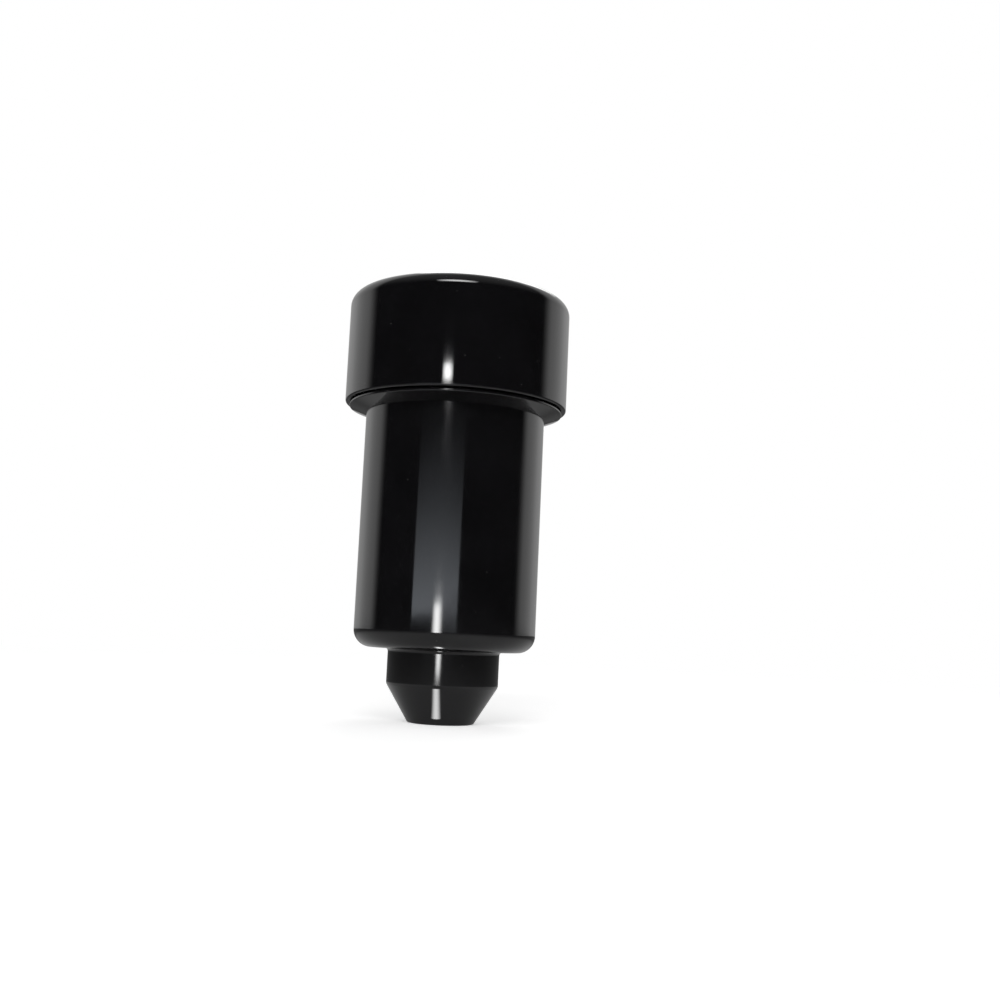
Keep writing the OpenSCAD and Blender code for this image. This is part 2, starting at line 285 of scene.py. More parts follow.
@cache
def handling_marks() -> bpy.types.NodeTree:
    """Builds the marks of packing and handling: hairlines in two directions, smudges and specks of dust.

    Returns:
        The node group.
    """
    graph, entry, leave = start_group("handling_marks", ("Hairlines", "Smudge", "Specks"),
                                      Hairline_Width=0.006, Speck_Scale=700.0)
    place = entry["Vector"]
    sets = []
    for turn, scale in (((0, 0, 25), (700, 700, 26)), ((62, 18, 0), (640, 640, 34))):
        lines = graph.noise(graph.place(place, turn=turn, scale=scale), scale=1.0, detail=1.0)
        off_centre = graph.math("ABSOLUTE", graph.math("SUBTRACT", lines, 0.5))
        sets.append(graph.rise(off_centre, entry["Hairline Width"], 0.0))
    here = graph.rise(graph.noise(place, scale=110.0), low=0.56, high=0.68)
    graph.feed(leave["Hairlines"], graph.math("MULTIPLY", graph.math("MAXIMUM", *sets), here))
    drawn_out = graph.place(place, turn=(0, 30, 40), scale=(1, 1, 0.45))
    smear = graph.noise(drawn_out, scale=75.0, detail=4.0, rough=0.6)
    graph.feed(leave["Smudge"], graph.rise(smear, low=0.48, high=0.7))
    cells = graph.add("ShaderNodeTexVoronoi", feature="F1")
    away = graph.fill(cells, Vector=place, Scale=entry["Speck Scale"])["Distance"]
    dot = graph.rise(away, low=0.13, high=0.06)
    thinned = graph.rise(graph.noise(place, scale=420.0, detail=1.0), low=0.58, high=0.66)
    graph.feed(leave["Specks"], graph.math("MULTIPLY", dot, thinned))
    return graph.tree


@cache
def rubbed_edge() -> bpy.types.NodeTree:
    """Builds the rubbed line round a turned edge, given by the edge's radius and height.

    Returns:
        The node group.
    """
    graph, entry, leave = start_group("rubbed_edge", ("Rub",), Edge_Radius=0.02, Edge_Height=0.0, Width=MM)
    place = entry["Vector"]
    x, y, z = graph.axes(place)
    outwards = graph.math("SUBTRACT", graph.hypot(x, y), entry["Edge Radius"])
    upwards = graph.math("SUBTRACT", z, entry["Edge Height"])
    near = graph.rise(graph.hypot(outwards, upwards), entry["Width"], 0.0)
    patchy = graph.rise(graph.noise(place, scale=330.0, detail=4.0, rough=0.65), low=0.42, high=0.66)
    graph.feed(leave["Rub"], graph.math("MULTIPLY", near, patchy))
    return graph.tree


@cache
def round_lines() -> bpy.types.NodeTree:
    """Builds the fine lines that run round the Z axis, as turning or drawing leaves them.

    Returns:
        The node group.
    """
    graph, entry, leave = start_group("round_lines", ("Lines", "Cloud"), Line_Scale=9000.0)
    place = entry["Vector"]
    x, y, z = graph.axes(place)
    across = graph.feed_from(graph.add("ShaderNodeCombineXYZ"), 0, graph.hypot(x, y), z)[0]
    graph.feed(leave["Lines"], graph.noise(across, entry["Line Scale"], rough=0.6))
    cloud = graph.noise(place, scale=240.0, detail=4.0, rough=0.6)
    graph.feed(leave["Cloud"], graph.rise(cloud, low=0.35, high=0.68))
    return graph.tree


def new_material(name: str) -> tuple[bpy.types.Material, Graph, bpy.types.Node, Socket]:
    """Makes a material with a shader and the piece's own coordinates.

    Args:
        name: The material's name.

    Returns:
        The material, its graph, its Principled shader and the socket of the coordinates.
    """
    material = bpy.data.materials.new(name)
    material.use_nodes = True
    graph = Graph(material.node_tree)
    shader = graph.add("ShaderNodeBsdfPrincipled")
    graph.fill(graph.add("ShaderNodeOutputMaterial"), Surface=shader.outputs[0])
    return material, graph, shader, graph.add("ShaderNodeTexCoord").outputs["Object"]


def bump(graph: Graph, height: Socket) -> Socket:
    """Gives the normal of a surface with a height in millimetres."""
    return graph.fill(graph.add("ShaderNodeBump"), Strength=1.0, Distance=MM, Height=height)["Normal"]


@dataclass(frozen=True)
class Corner:
    """A corner of a turned outline: its radius, its height and the radius that rounds it."""

    r: float
    z: float
    rounded: float = 0.0

    @property
    def point(self) -> Vector:
        """Gives the corner's place in the plane of the outline."""
        return Vector((self.r, 0, self.z))


@dataclass(frozen=True)
class Edge:
    """A turned edge that gets rubbed: its radius, its height and the width of the rubbed line."""

    radius: float
    height: float
    width: float = 0.9 * MM


@dataclass(frozen=True)
class BlackMoulding:
    """Black moulded plastic with ripples, grain, an uneven gloss and light marks of handling."""

    name: str
    tint: Triple
    rubbed_tint: Triple
    roughness: float
    uneven: float
    ripple: float
    grain: float
    grain_scale: float
    marks: float
    dust: float
    edges: tuple[Edge, ...] = ()
    dust_tint: Triple = (0.09, 0.088, 0.084)
    mottle_gain: float = 1.5
    rubbed_dull: float = 0.3
    ior: float = 1.5

    def material(self) -> bpy.types.Material:
        """Builds the material.

        Returns:
            The material.
        """
        material, graph, shader, place = new_material(self.name)
        skin = graph.group(moulded_skin(), Vector=place, Ripple_Depth=self.ripple,
                           Grain_Scale=self.grain_scale, Grain_Depth=self.grain)
        marks = graph.group(handling_marks(), Vector=place)
        worn = graph.math("MULTIPLY", marks["Hairlines"], self.marks)
        for edge in self.edges:
            rub = graph.group(rubbed_edge(), Vector=place, Edge_Radius=edge.radius,
                              Edge_Height=edge.height, Width=edge.width)
            worn = graph.math("MAXIMUM", worn, graph.math("MULTIPLY", rub["Rub"], self.marks))
        dust = graph.math("MULTIPLY", marks["Specks"], self.dust)
        shade = graph.blend(skin["Mottle"], self.tint, tuple(self.mottle_gain * c for c in self.tint))
        shade = graph.blend(dust, graph.blend(worn, shade, self.rubbed_tint), self.dust_tint)
        dull = graph.math("MULTIPLY_ADD", marks["Smudge"], self.uneven, self.roughness)
        dull = graph.math("MULTIPLY_ADD", skin["Mottle"], self.uneven / 2, dull)
        dull = graph.math("MULTIPLY_ADD", worn, self.rubbed_dull, dull)
        graph.fill(shader, Base_Color=shade, Roughness=dull, IOR=self.ior,
                   Normal=bump(graph, skin["Height"]))
        return material


@dataclass(frozen=True)
class SoftRubber:
    """Soft black rubber with a fine grain and a pale bloom."""

    name: str
    tint: Triple
    bloom: Triple
    roughness: float
    uneven: float = 0.12
    ripple: float = 0.004
    grain: float = 0.006
    grain_scale: float = 5200.0
    dust: float = 0.5
    dust_tint: Triple = (0.2, 0.19, 0.17)
    mirror: float = 0.35

    def material(self) -> bpy.types.Material:
        """Builds the material.

        Returns:
            The material.
        """
        material, graph, shader, place = new_material(self.name)
        skin = graph.group(moulded_skin(), Vector=place, Ripple_Depth=self.ripple,
                           Grain_Scale=self.grain_scale, Grain_Depth=self.grain)
        marks = graph.group(handling_marks(), Vector=place)
        shade = graph.blend(skin["Mottle"], self.tint, self.bloom)
        shade = graph.blend(graph.math("MULTIPLY", marks["Specks"], self.dust), shade, self.dust_tint)
        dull = graph.math("MULTIPLY_ADD", skin["Mottle"], self.uneven, self.roughness)
        graph.fill(shader, Base_Color=shade, Roughness=dull, Specular_IOR_Level=self.mirror,
                   Normal=bump(graph, skin["Height"]))
        return material


@dataclass(frozen=True)
class PlatedSteel:
    """Plated steel with fine lines round an axis. The axis is Z through the origin once moved and turned."""

    name: str
    tint: Triple
    clouded: Triple
    roughness: float
    uneven: float
    line_depth: float
    line_scale: float
    centre: Triple = (0, 0, 0)
    turn: Triple = (0, 0, 0)
    smudged: float = 0.08

    def material(self) -> bpy.types.Material:
        """Builds the material.

        Returns:
            The material.
        """
        material, graph, shader, place = new_material(self.name)
        here = graph.place(graph.place(place, location=tuple(-c for c in self.centre)), turn=self.turn)
        lines = graph.group(round_lines(), Vector=here, Line_Scale=self.line_scale)
        marks = graph.group(handling_marks(), Vector=place)
        dull = graph.math("MULTIPLY_ADD", lines["Lines"], self.uneven, self.roughness)
        dull = graph.math("MULTIPLY_ADD", marks["Smudge"], self.smudged, dull)
        height = graph.math("MULTIPLY", lines["Lines"], self.line_depth)
        graph.fill(shader, Base_Color=graph.blend(lines["Cloud"], self.tint, self.clouded), Roughness=dull,
                   Metallic=1.0, Normal=bump(graph, height))
        return material


class Solid:
    """A piece in the making: its object, and the steps that shape it, each an operator as used by hand."""

    def __init__(self, name: str, add: Callable[..., set[str]], **settings: object) -> None:
        """Adds a primitive with nothing else selected, and puts its place into its mesh.

        Args:
            name: The piece's name.
            add: The operator that adds the primitive.
            settings: What the operator gets.
        """
        bpy.ops.object.select_all(action="DESELECT")
        add(**settings)
        self.obj = bpy.context.active_object
        self.obj.name = name
        self.obj.data.name = name
        bpy.ops.object.transform_apply(location=True, rotation=True, scale=True)

    def take(self) -> None:
        """Makes the piece the only selected object and the active one."""
        bpy.ops.object.select_all(action="DESELECT")
        self.obj.select_set(True)
        bpy.context.view_layer.objects.active = self.obj

    @contextmanager
    def editing(self) -> Iterator[None]:
        """Opens the mesh in edit mode with all of it selected, and closes it at the end."""
        self.take()
        bpy.ops.object.mode_set(mode="EDIT")
        bpy.ops.mesh.select_all(action="SELECT")
        yield
        bpy.ops.object.mode_set(mode="OBJECT")

    def pick(self, kind: Pick, test: Test) -> None:
        """Selects the parts of the mesh that pass a test, in edit mode.

        Args:
            kind: The kind of parts.
            test: Tells whether a part is wanted.
        """
        bpy.ops.mesh.select_all(action="DESELECT")
        bpy.ops.mesh.select_mode(type=kind.name)
        work = bmesh.from_edit_mesh(self.obj.data)
        for part in getattr(work, kind.value):
            if test(part):
                part.select_set(True)
        bmesh.update_edit_mesh(self.obj.data)

    @staticmethod
    def close() -> None:
        """Merges doubled points in edit mode, fills open ends and turns the faces outwards."""
        bpy.ops.mesh.select_all(action="SELECT")
        bpy.ops.mesh.remove_doubles(threshold=SAME_PLACE)
        bpy.ops.mesh.fill_holes(sides=0)
        bpy.ops.mesh.select_all(action="SELECT")
        bpy.ops.mesh.normals_make_consistent(inside=False)

    def modify(self, kind: str, **settings: object) -> None:
        """Adds a modifier, sets it and applies it.

        Args:
            kind: Name of the modifier's type.
            settings: Properties to set on the modifier.
        """
        self.take()
        bpy.ops.object.modifier_add(type=kind)
        modifier = self.obj.modifiers[-1]
        for key, value in settings.items():
            setattr(modifier, key, value)
        bpy.ops.object.modifier_apply(modifier=modifier.name)

    @classmethod
    def lathe(cls, name: str, outline: Sequence[Corner], steps: int = 96, segments: int = 5) -> Self:
        """Turns an outline about the Z axis.

        Args:
            name: The piece's name.
            outline: Corners in order, from the axis back to the axis or round to the first corner.
            steps: Steps in the turn.
            segments: Steps in a rounded corner.

        Returns:
            The solid.
        """
        solid = cls(name, bpy.ops.mesh.primitive_plane_add, size=MM)
        with solid.editing():
            solid.pick(Pick.VERT, lambda v: v.index != 0)
            bpy.ops.mesh.delete(type="VERT")
            bpy.ops.mesh.select_all(action="SELECT")
            drawn = bmesh.from_edit_mesh(solid.obj.data).verts[:][0].co.copy()
            bpy.ops.transform.translate(value=outline[0].point - drawn)
            for here, there in zip(outline, outline[1:]):
                step = {"value": there.point - here.point}
                bpy.ops.mesh.extrude_vertices_move(TRANSFORM_OT_translate=step)
            for before, corner, after in zip(outline, outline[1:], outline[2:]):
                if corner.rounded:
                    half = (before.point - corner.point).angle(after.point - corner.point) / 2
                    solid.pick(Pick.VERT, lambda v: (v.co - corner.point).length < SAME_PLACE)
                    bpy.ops.mesh.bevel(offset=corner.rounded / math.tan(half), offset_type="OFFSET",
                                       segments=segments, affect="VERTICES", profile=0.5)
            bpy.ops.mesh.select_all(action="SELECT")
            bpy.ops.mesh.spin(steps=steps, angle=math.tau, center=(0, 0, 0), axis=(0, 0, 1))
            solid.close()
        return solid

    @classmethod
    def hexagon(cls, name: str, flats: float, low: float, high: float) -> Self:
        """Makes a six-sided prism between two heights, with two of its edges on the X axis."""
        return cls(name, bpy.ops.mesh.primitive_cylinder_add, vertices=6, radius=flats / math.sqrt(3),
                   depth=high - low, location=(0, 0, (low + high) / 2), rotation=(0, 0, math.pi / 6))

    def soften(self, width: float, segments: int, test: Test) -> None:
        """Rounds the edges that pass a test.

        Args:
            width: Width of the rounding.
            segments: Steps in the rounding.
            test: Tells whether an edge is rounded.
        """
        with self.editing():
            self.pick(Pick.EDGE, test)
            bpy.ops.mesh.bevel(offset=width, segments=segments, affect="EDGES", profile=0.5)

    def join(self, tool: Self, how: Joining) -> None:
        """Adds another solid or cuts it away, removes that one and cleans the seam.

        Args:
            tool: The solid that is used up.
            how: Whether it is added or cut away.
        """
        self.modify("BOOLEAN", operation=how.value, solver="EXACT", object=tool.obj)
        bpy.data.objects.remove(tool.obj)
        with self.editing():
            bpy.ops.mesh.remove_doubles(threshold=SAME_PLACE)
            bpy.ops.mesh.dissolve_degenerate(threshold=SAME_PLACE)

    def fit(self, body: Body, slot: Slot, node: str, material: bpy.types.Material) -> None:
        """Shades the finished piece, dresses it and sets it on its body in place of a node.

        Its sharp edges stay sharp, and its larger faces stay flat or straight.

        Args:
            body: The body that it rides on.
            slot: The record's slot; not used.
            node: The node that it stands for.
            material: Its material.
        """
        obj = self.obj
        self.take()
        bpy.ops.object.shade_smooth_by_angle(angle=SMOOTH_ANGLE)
        self.modify("WEIGHTED_NORMAL", weight=NORMAL_WEIGHT, keep_sharp=True)
        obj.data.materials.clear()
        obj.data.materials.append(material)
        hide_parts(node)
        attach(obj, body.value)
        log.info("%s: %d faces, in place of %s", obj.name, len(obj.data.polygons), node)


@dataclass
class GroundTube:
    """The closed tube with its nose, its collar and its neck."""

    node: str = "ground_tube"
    finish: BlackMoulding = BlackMoulding(
        name="tube_gloss", tint=(0.0026, 0.0025, 0.0029), rubbed_tint=(0.012, 0.012, 0.0125), roughness=0.06,
        uneven=0.05, ripple=0.0035, grain=0.0006, grain_scale=3600.0, marks=0.22, dust=0.35,
        edges=(Edge(7.5 * MM, 0.0), Edge(12.75 * MM, 8.5 * MM), Edge(19.6 * MM, 17.7 * MM, 1.6 * MM),
               Edge(24.75 * MM, 72.0 * MM)))
    wall: float = 2.0 * MM
    foot_radius: float = 7.5 * MM
    foot_round: float = 0.6 * MM
    nose_radius: float = 12.75 * MM
    nose_round: float = 0.8 * MM
    taper_height: float = 8.5 * MM
    taper_round: float = 1.5 * MM
    tube_radius: float = 20.75 * MM
    tube_foot: float = 16.5 * MM
    tube_round: float = 4.0 * MM
    shoulder: float = 70.2 * MM
    collar_foot: float = 71.7 * MM
    collar_top: float = 72.3 * MM
    collar_round: float = 0.2 * MM
    neck_radius: float = 22.65 * MM
    neck_wall: float = 2.4 * MM
    mouth_round: float = 0.8 * MM

    def build(self) -> None:
        """Turns the tube's outline, so that its rounded edges take an even gloss, and dresses it."""
        tube = Solid.lathe("tube_body", self._outside() + self._inside(), FINE_TURN, FINE_ROUND)
        tube.fit(Body.TUBE, Slot.TUBE, self.node, self.finish.material())

    def _outside(self) -> tuple[Corner, ...]:
        """Gives the outline from the middle of the foot up to the mouth's outer edge.

        Returns:
            The corners in order.
        """
        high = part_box(self.node)[1]
        return (
            Corner(0, 0),
            Corner(self.foot_radius, 0, self.foot_round),
            Corner(self.nose_radius, self.taper_height, self.taper_round),
            Corner(self.nose_radius, self.tube_foot, self.nose_round),
            Corner(self.tube_radius, self.tube_foot, self.tube_round),
            Corner(self.tube_radius, self.shoulder),
            Corner(high.x, self.collar_foot, self.collar_round),
            Corner(high.x, self.collar_top, self.collar_round),
            Corner(self.neck_radius, self.collar_top),
            Corner(self.neck_radius, high.z, self.mouth_round),
        )

    def _inside(self) -> tuple[Corner, ...]:
        """Gives the outline from the mouth's inner edge down to the middle of the nose's floor.

        Returns:
            The corners in order.
        """
        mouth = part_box(self.node)[1].z
        taper = math.atan2(self.nose_radius - self.foot_radius, self.taper_height)
        bore = self.tube_radius - self.wall
        neck_bore = self.neck_radius - self.neck_wall
        nose_bore = self.nose_radius - self.wall
        foot_bore = self.foot_radius + self.wall * (math.tan(taper) - 1 / math.cos(taper))
        return (
            Corner(neck_bore, mouth, self.mouth_round),
            Corner(neck_bore, self.collar_foot),
            Corner(bore, self.shoulder),
            Corner(bore, self.tube_foot + self.wall, self.tube_round - self.wall),
            Corner(nose_bore, self.tube_foot + self.wall),
            Corner(nose_bore, self.taper_height + self.wall * math.tan(taper / 2)),
            Corner(foot_bore, self.wall),
            Corner(0, self.wall),
        )


@dataclass
class PushOnCap:
    """The wide cap that lifts off with the keys."""

    node: str = "cap_shell"
    finish: BlackMoulding = BlackMoulding(
        name="cap_gloss", tint=(0.0025, 0.0024, 0.0028), rubbed_tint=(0.012, 0.012, 0.0125), roughness=0.04,
        uneven=0.025, ripple=0.0035, grain=0.0008, grain_scale=3400.0, marks=0.28, dust=0.4,
        edges=(Edge(24.9 * MM, 97.2 * MM, 1.8 * MM), Edge(25.6 * MM, 72.6 * MM)))
    bore_radius: float = 22.95 * MM
    deck: float = 2.4 * MM
    edge_round: float = 3.0 * MM
    foot_round: float = 0.5 * MM
    lead_round: float = 0.6 * MM
    inner_round: float = 1.2 * MM
    line_radius: float = 21.0 * MM
    line_width: float = 1.0 * MM
    line_depth: float = 0.4 * MM
    line_round: float = 0.15 * MM
    seat_radius: float = 9.65 * MM
    seat_depth: float = 0.6 * MM
    hole_radius: float = 4.65 * MM
    groove_radius: float = 24.35 * MM
    groove_width: float = 1.8 * MM
    groove_rise: float = 5.0 * MM
    socket_radius: float = 8.05 * MM
    socket_height: float = 2.0 * MM
    socket_flats: float = 11.2 * MM

    def build(self) -> None:
        """Turns the cap's outline finely enough for an even gloss, cuts its socket and dresses it."""
        low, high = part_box(self.node)
        under = high.z - self.deck
        socket_foot = under - self.socket_height
        outline = (
            Corner(self.hole_radius, socket_foot),
            *self._deck(high),
            Corner(high.x, high.z, self.edge_round),
            Corner(high.x, low.z, self.foot_round),
            *self._bore(low, under),
            Corner(self.socket_radius, under),
            Corner(self.socket_radius, socket_foot),
            Corner(self.hole_radius, socket_foot),
        )
        cap = Solid.lathe("cap_body", outline, FINE_TURN, FINE_ROUND)
        cap.join(Solid.hexagon("socket", self.socket_flats, socket_foot - MM, under), Joining.CUT)
        cap.fit(Body.CAP, Slot.CAP, self.node, self.finish.material())

    def _deck(self, high: Vector) -> tuple[Corner, ...]:
        """Gives the deck's outline from its hole outwards, with the nozzle's seat and the line round it.

        Args:
            high: Highest corner of the cap.

        Returns:
            The corners in order.
        """
        seat = high.z - self.seat_depth
        line_in = self.line_radius - self.line_width / 2
        line_out = self.line_radius + self.line_width / 2
        return (
            Corner(self.hole_radius, seat),
            Corner(self.seat_radius, seat),
            Corner(self.seat_radius, high.z),
            Corner(line_in, high.z, self.line_round),
            Corner(line_in, high.z - self.line_depth),
            Corner(line_out, high.z - self.line_depth),
            Corner(line_out, high.z, self.line_round),
        )

    def _bore(self, low: Vector, under: float) -> tuple[Corner, ...]:
        """Gives the outline of the bore from its lead, past the rubber ring's groove, up to the deck.

        Args:
            low: Lowest corner of the cap.
            under: Height of the deck's lower face.

        Returns:
            The corners in order.
        """
        groove_low = low.z + self.groove_rise - self.groove_width / 2
        groove_high = groove_low + self.groove_width
        return (
            Corner(self.bore_radius, low.z, self.lead_round),
            Corner(self.bore_radius, groove_low),
            Corner(self.groove_radius, groove_low),
            Corner(self.groove_radius, groove_high),
            Corner(self.bore_radius, groove_high),
            Corner(self.bore_radius, under, self.inner_round),
        )


@dataclass
class ImitationNozzle:
    """The nozzle in the deck."""

    node: str = "nozzle_head"
    finish: BlackMoulding = BlackMoulding(
        name="nozzle_grain", tint=(0.0075, 0.0073, 0.0078), rubbed_tint=(0.06, 0.06, 0.06), roughness=0.36,
        uneven=0.1, ripple=0.003, grain=0.006, grain_scale=3000.0, marks=0.3, dust=0.5,
        edges=(Edge(9.3 * MM, 100.7 * MM, 0.8 * MM),))

    def build(self) -> None:
        """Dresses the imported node, whose shape is right."""
        material = self.finish.material()
        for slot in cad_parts[self.node].material_slots:
            slot.material = material
        log.info("%s: kept, with finish %s", self.node, material.name)


@dataclass
class SlottedScrew:
    """The screw that clamps the nozzle and the hanger to the deck."""

    node: str = "nozzle_screw"
    head_radius: float = 3.4 * MM
    head_height: float = 2.0 * MM
    head_foot_round: float = 0.2 * MM
    edge_round: float = 0.45 * MM
    slot_width: float = 1.1 * MM
    slot_depth: float = 0.9 * MM
    shank_radius: float = 2.0 * MM
    root_radius: float = 1.6 * MM
    plain_length: float = 3.0 * MM
    runout: float = 0.4 * MM
    tip_radius: float = 1.2 * MM
    tip_round: float = 0.15 * MM
    tip_length: float = 0.9 * MM
    pitch: float = 1.4 * MM
    tooth: float = 1.1 * MM
    crest: float = 0.2 * MM
    sunk: float = 0.15 * MM
    turns: int = 4
    turn_steps: int = 40
    finish: PlatedSteel = PlatedSteel(
        name="zinc_plate", tint=(0.62, 0.62, 0.61), clouded=(0.5, 0.5, 0.49), roughness=0.22, uneven=0.14,
        line_depth=0.002, line_scale=5200.0)

    def build(self) -> None:
        """Turns the screw, winds its thread round it, cuts its slot and dresses it."""
        low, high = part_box(self.node)
        under_head = high.z - self.head_height
        thread_top = under_head - self.plain_length
        screw = Solid.lathe("slotted_screw", (
            Corner(0, low.z),
            Corner(self.tip_radius, low.z, self.tip_round),
            Corner(self.root_radius, low.z + self.tip_length),
            Corner(self.root_radius, thread_top - self.runout),
            Corner(self.shank_radius, thread_top),
            Corner(self.shank_radius, under_head),
            Corner(self.head_radius, under_head, self.head_foot_round),
            Corner(self.head_radius, high.z, self.edge_round),
            Corner(0, high.z),
        ))
        screw.join(self._thread(thread_top - (self.turns + 0.5) * self.pitch), Joining.ADD)
        screw.join(Solid("slot", bpy.ops.mesh.primitive_cube_add, size=1,
                         location=(0, 0, high.z + (MM - self.slot_depth) / 2),
                         scale=(4 * self.head_radius, self.slot_width, MM + self.slot_depth)), Joining.CUT)
        screw.fit(Body.CAP, Slot.SCREW, self.node, self.finish.material())

    def _thread(self, start: float) -> Solid:
        """Winds the ridge of the thread.

        Args:
            start: Height of the thread's lower end.

        Returns:
            The ridge, a solid that is sunk into the core.
        """
        inner = self.root_radius - self.sunk
        middle = Vector(((inner + self.shank_radius) / 2, 0, start))
        ridge = Solid("thread", bpy.ops.mesh.primitive_plane_add, size=1, rotation=(math.pi / 2, 0, 0))
        with ridge.editing():
            bpy.ops.transform.resize(value=(self.shank_radius - inner, 1, self.tooth),
                                     center_override=(0, 0, 0))
            bpy.ops.transform.translate(value=middle)
            ridge.pick(Pick.VERT, lambda v: v.co.x > middle.x)
            bpy.ops.transform.resize(value=(1, 1, self.crest / self.tooth), center_override=middle)
            bpy.ops.mesh.select_all(action="SELECT")
            bpy.ops.mesh.delete(type="ONLY_FACE")
        ridge.modify("SCREW", steps=self.turn_steps, iterations=self.turns, screw_offset=self.pitch,
                     use_merge_vertices=True)
        with ridge.editing():
            ridge.close()
        return ridge


@dataclass
class SealRing:
    """The rubber ring in the cap's groove, with the fine ridge that its mould leaves round it."""

    node: str = "cap_seal"
    cord: float = 1.5 * MM
    ridge: float = 0.04 * MM
    sides: int = 32
    steps: int = 160
    finish: SoftRubber = SoftRubber(
        name="seal_rubber_soft", tint=(0.012, 0.012, 0.012), bloom=(0.03, 0.03, 0.029), roughness=0.5)

    def build(self) -> None:
        """Spins the cord round the axis and dresses it."""
        low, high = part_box(self.node)
        middle = Vector((high.x - self.cord / 2, 0, (low.z + high.z) / 2))
        seal = Solid("seal_ring", bpy.ops.mesh.primitive_circle_add, vertices=self.sides,
                     radius=self.cord / 2, fill_type="NOTHING", location=middle,
                     rotation=(math.pi / 2, 0, 0))
        with seal.editing():
            seal.pick(Pick.VERT, lambda v: abs(v.co.z - middle.z) < SAME_PLACE)
            bpy.ops.transform.resize(value=(1 + 2 * self.ridge / self.cord, 1, 1), center_override=middle)
            bpy.ops.mesh.select_all(action="SELECT")
            bpy.ops.mesh.spin(steps=self.steps, angle=math.tau, center=(0, 0, 0), axis=(0, 0, 1))
            seal.close()
        seal.fit(Body.SEAL, Slot.SEAL, self.node, self.finish.material())


@dataclass
class KeyHanger:
    """The eye under the cap: a six-sided head, a stem that takes the screw and a lug with rounded rims."""

    node: str = "key_hanger"
    head_height: float = 2.5 * MM
    head_round: float = 0.35 * MM
    head_segments: int = 3
    stem_radius: float = 4.5 * MM
    stem_round: float = 0.4 * MM
    stem_length: float = 5.5 * MM
    stem_steps: int = 72
    lug_thickness: float = 3.0 * MM
    lug_radius: float = 5.5 * MM
    lug_steps: int = 72
    neck_half: float = 4.25 * MM
    eye_radius: float = 3.2 * MM
    rim_round: float = 0.55 * MM
    rim_segments: int = 5
    bore_radius: float = 2.05 * MM
    bore_depth: float = 7.0 * MM
    bore_steps: int = 48
    finish: BlackMoulding = BlackMoulding(
        name="hanger_grain", tint=(0.011, 0.0108, 0.0114), rubbed_tint=(0.07, 0.07, 0.07), roughness=0.4,
        uneven=0.12, ripple=0.003, grain=0.007, grain_scale=2800.0, marks=0.4, dust=0.4)

    def build(self) -> None:
        """Builds the lug, the stem and the head, joins them, bores them and dresses them."""
        low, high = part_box(self.node)
        stem_end = high.z - self.head_height - self.stem_length
        stem_top = high.z - self.head_height / 2
        bore_end = high.z - self.bore_depth
        hanger = self._lug(low.z + self.lug_radius, stem_end + MM)
        hanger.join(Solid.lathe("stem", (
            Corner(0, stem_end),
            Corner(self.stem_radius, stem_end, self.stem_round),
            Corner(self.stem_radius, stem_top),
            Corner(0, stem_top),
        ), self.stem_steps), Joining.ADD)
        hanger.join(self._head(high), Joining.ADD)
        hanger.join(Solid.lathe("bore", (
            Corner(0, bore_end),
            Corner(self.bore_radius, bore_end),
            Corner(self.bore_radius, high.z + MM),
            Corner(0, high.z + MM),
        ), self.bore_steps), Joining.CUT)
        hanger.fit(Body.CAP, Slot.HANGER, self.node, self.finish.material())

    def _lug(self, eye_z: float, top: float) -> Solid:
        """Makes the flat lug with its eye: a disc whose upper part is drawn up into the stem.

        Args:
            eye_z: Height of the eye's centre.
            top: Height at which the lug ends inside the stem.

        Returns:
            The lug.
        """
        half = self.lug_thickness / 2
        lug = self._disc("hanger_eye", self.lug_radius, self.lug_thickness, eye_z)
        with lug.editing():
            lug.pick(Pick.VERT, lambda v: v.co.z > eye_z and abs(v.co.y) < self.neck_half)
            bpy.ops.transform.resize(value=(1, 1, 0), center_override=(0, 0, top))
        lug.join(self._disc("eye", self.eye_radius, 3 * self.lug_thickness, eye_z), Joining.CUT)
        lug.soften(self.rim_round, self.rim_segments, lambda e: (
            e.calc_face_angle(0) > SMOOTH_ANGLE
            and all(abs(abs(v.co.x) - half) < SAME_PLACE for v in e.verts)
            and min(v.co.z for v in e.verts) < top - SAME_PLACE))
        return lug

    def _disc(self, name: str, radius: float, thickness: float, z: float) -> Solid:
        """Makes a round disc that faces along X, with its centre on the axis at a height."""
        return Solid(name, bpy.ops.mesh.primitive_cylinder_add, vertices=self.lug_steps, radius=radius,
                     depth=thickness, location=(0, 0, z), rotation=(0, math.pi / 2, 0))

    def _head(self, high: Vector) -> Solid:
        """Makes the six-sided head, rounded apart from the edges of its upper face.

        Args:
            high: Highest corner of the node's box.

        Returns:
            The head.
        """
        foot = high.z - self.head_height
        head = Solid.hexagon("head", math.sqrt(3) * high.x, foot, high.z)
        head.soften(self.head_round, self.head_segments,
                    lambda e: min(v.co.z for v in e.verts) < foot + SAME_PLACE)
        return head


